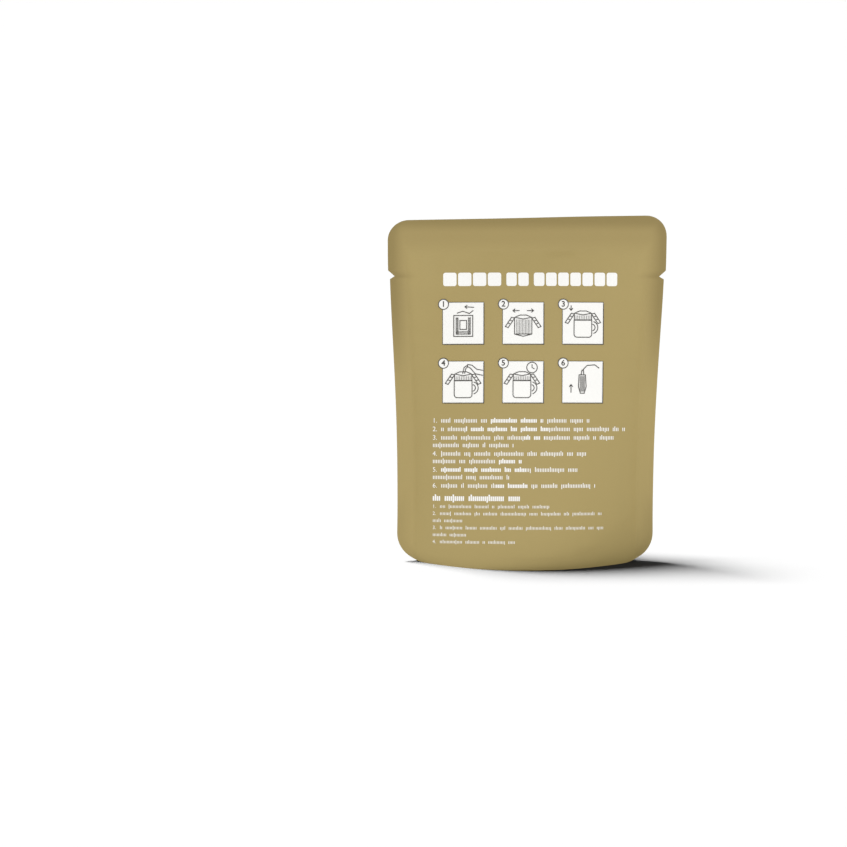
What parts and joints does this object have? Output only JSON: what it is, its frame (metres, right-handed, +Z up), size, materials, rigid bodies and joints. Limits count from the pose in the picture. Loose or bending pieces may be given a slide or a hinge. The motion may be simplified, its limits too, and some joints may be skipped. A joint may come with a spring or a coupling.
{
  "type": "drip coffee bag",
  "caption": "Filled drip coffee pouch: a heat-sealed stand-up bag of matt film with tear notches, rounded corners, a folded base gusset and brewing steps printed on its front.",
  "frame": {"origin": "on the floor, under the middle of the standing pouch", "axes": "+Z up along the pouch's height, +X along its width, the printed face looks along -Y and the plain face along +Y"},
  "size_m": [0.1, 0.0267, 0.1285],
  "materials": {
    "laminate_film": "matte",
    "white_ink": "matte"
  },
  "bodies": {
    "root": {"pouch": "laminate_film", "print_title": "white_ink", "print_step_1": "white_ink", "print_step_2": "white_ink", "print_step_3": "white_ink", "print_step_4": "white_ink", "print_step_5": "white_ink", "print_step_6": "white_ink", "print_line_01": "white_ink", "print_line_02": "white_ink", "print_line_03": "white_ink", "print_line_04": "white_ink", "print_line_05": "white_ink", "print_line_06": "white_ink", "print_line_07": "white_ink", "print_line_08": "white_ink", "print_line_09": "white_ink", "print_line_10": "white_ink", "print_line_11": "white_ink", "print_line_12": "white_ink", "print_line_13": "white_ink", "print_line_14": "white_ink", "print_line_15": "white_ink", "print_line_16": "white_ink"}
  },
  "joints": []
}
